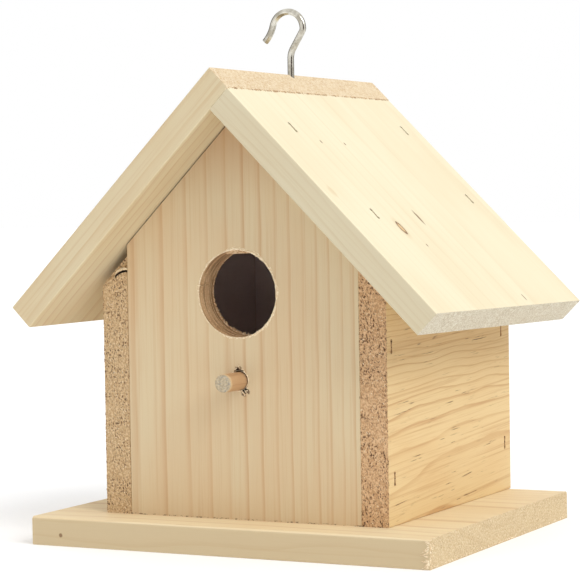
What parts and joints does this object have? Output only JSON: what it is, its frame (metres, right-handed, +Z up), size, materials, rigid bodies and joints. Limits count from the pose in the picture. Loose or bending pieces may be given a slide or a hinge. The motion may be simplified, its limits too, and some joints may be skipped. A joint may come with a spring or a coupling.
{
  "type": "birdhouse",
  "caption": "Small wooden nest box with a lapped gable roof, round entrance, dowel perch, wire screw hook in the ridge and a swinging clean-out cover at the back.",
  "frame": {"origin": "on the underside of the floor board, below the middle of the square body", "axes": "+Z up, the front with the entrance faces -Y, +X is to the right as seen from the front; the rear edges of roof, side walls and floor are flush"},
  "size_m": [0.2085, 0.1642, 0.2392],
  "materials": {
    "pine": "bare planed softwood with sawn end grain",
    "dowel": "bare turned dowel, sawn end",
    "hook_wire": "bright zinc-plated drawn wire",
    "staple_steel": "dull steel staple wire",
    "cover_sheet": "zinc-plated sheet",
    "screw_steel": "zinc-plated screw"
  },
  "bodies": {
    "house": {"floor_board": "pine", "front_wall": "pine", "back_wall": "pine", "left_wall": "pine", "right_wall": "pine", "left_roof_board": "pine", "right_roof_board": "pine", "perch": "dowel", "right_wall_staples": "staple_steel", "left_wall_staples": "staple_steel", "right_roof_staples": "staple_steel", "left_roof_staples": "staple_steel", "ridge_staples": "staple_steel", "floor_staples": "staple_steel", "cleanout_screw": "screw_steel"},
    "hook": {"hanging_hook": "hook_wire"},
    "cover": {"cleanout_cover": "cover_sheet"}
  },
  "joints": [
    {"name": "hook_turn", "type": "hinge", "parent": "house", "child": "hook", "pos_m": [0, -0.0175, 0.209], "axis": [0, 0, 1], "range_deg": [-90, 90]},
    {"name": "cleanout_swing", "type": "hinge", "parent": "house", "child": "cover", "pos_m": [0, 0.06475, 0.0697], "axis": [0, 1, 0], "continuous": true}
  ]
}
